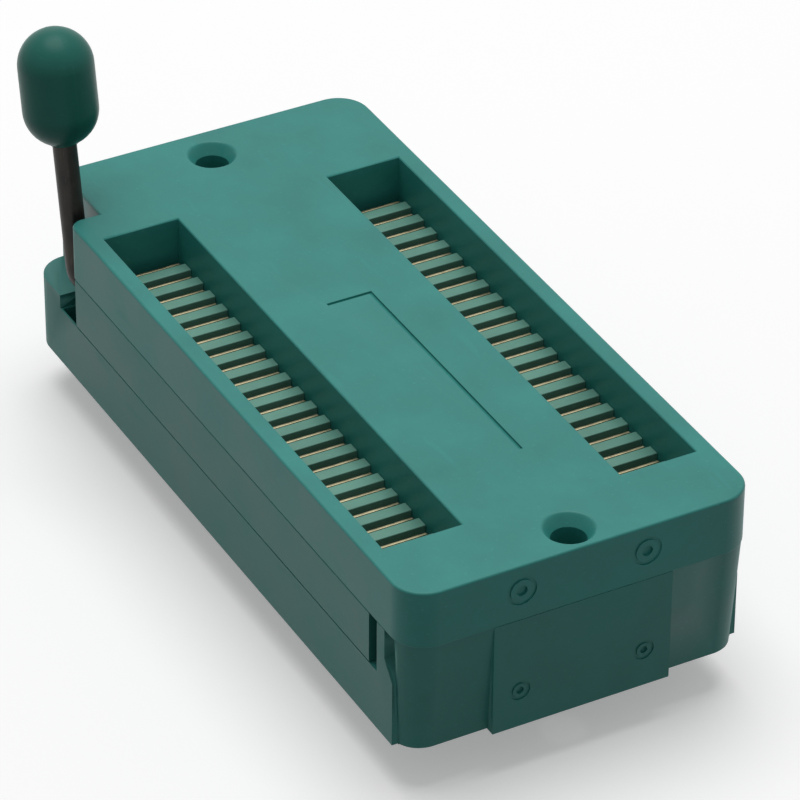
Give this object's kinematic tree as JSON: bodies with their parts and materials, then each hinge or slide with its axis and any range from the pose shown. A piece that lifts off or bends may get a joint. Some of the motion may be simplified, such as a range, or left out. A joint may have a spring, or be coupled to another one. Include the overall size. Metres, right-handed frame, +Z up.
{
  "type": "zif socket",
  "caption": "Lever-operated zero insertion force socket for dual in-line packages, with slotted wells, a cam-driven slider and through-hole contact tails.",
  "frame": {"origin": "centre of the body's outline on the seating plane, the base's underside", "axes": "+X along the contact rows, away from the lever; +Y across the rows, away from the lever arm; +Z up, out of the wells"},
  "size_m": [0.0524, 0.0255, 0.0276],
  "materials": {
    "cover_plastic": "satin moulded",
    "slider_plastic": "satin moulded",
    "base_plastic": "satin moulded",
    "lever_steel": "blackened",
    "knob_plastic": "satin moulded",
    "contact_metal": "plated"
  },
  "bodies": {
    "housing": {"base": "base_plastic", "top_cover": "cover_plastic", "contact_left_01": "contact_metal", "contact_left_02": "contact_metal", "contact_left_03": "contact_metal", "contact_left_04": "contact_metal", "contact_left_05": "contact_metal", "contact_left_06": "contact_metal", "contact_left_07": "contact_metal", "contact_left_08": "contact_metal", "contact_left_09": "contact_metal", "contact_left_10": "contact_metal", "contact_left_11": "contact_metal", "contact_left_12": "contact_metal", "contact_left_13": "contact_metal", "contact_left_14": "contact_metal", "contact_left_15": "contact_metal", "contact_left_16": "contact_metal", "contact_left_17": "contact_metal", "contact_left_18": "contact_metal", "contact_left_19": "contact_metal", "contact_left_20": "contact_metal", "contact_left_21": "contact_metal", "contact_right_01": "contact_metal", "contact_right_02": "contact_metal", "contact_right_03": "contact_metal", "contact_right_04": "contact_metal", "contact_right_05": "contact_metal", "contact_right_06": "contact_metal", "contact_right_07": "contact_metal", "contact_right_08": "contact_metal", "contact_right_09": "contact_metal", "contact_right_10": "contact_metal", "contact_right_11": "contact_metal", "contact_right_12": "contact_metal", "contact_right_13": "contact_metal", "contact_right_14": "contact_metal", "contact_right_15": "contact_metal", "contact_right_16": "contact_metal", "contact_right_17": "contact_metal", "contact_right_18": "contact_metal", "contact_right_19": "contact_metal", "contact_right_20": "contact_metal", "contact_right_21": "contact_metal"},
    "slider": {"slider": "slider_plastic"},
    "lever": {"lever_rod": "lever_steel", "lever_knob": "knob_plastic"}
  },
  "joints": [
    {"name": "lever_hinge", "type": "hinge", "parent": "housing", "child": "lever", "pos_m": [-0.0209, 0, 0.0062], "axis": [0, -1, 0], "range_deg": [0, 80]},
    {"name": "slider_slide", "type": "slide", "parent": "housing", "child": "slider", "axis": [1, 0, 0], "range_m": [0, 0.0005]}
  ],
  "couplings": [
    {"joint": "lever_hinge", "follows": "slider_slide", "rad_per_m": 2792.5}
  ]
}
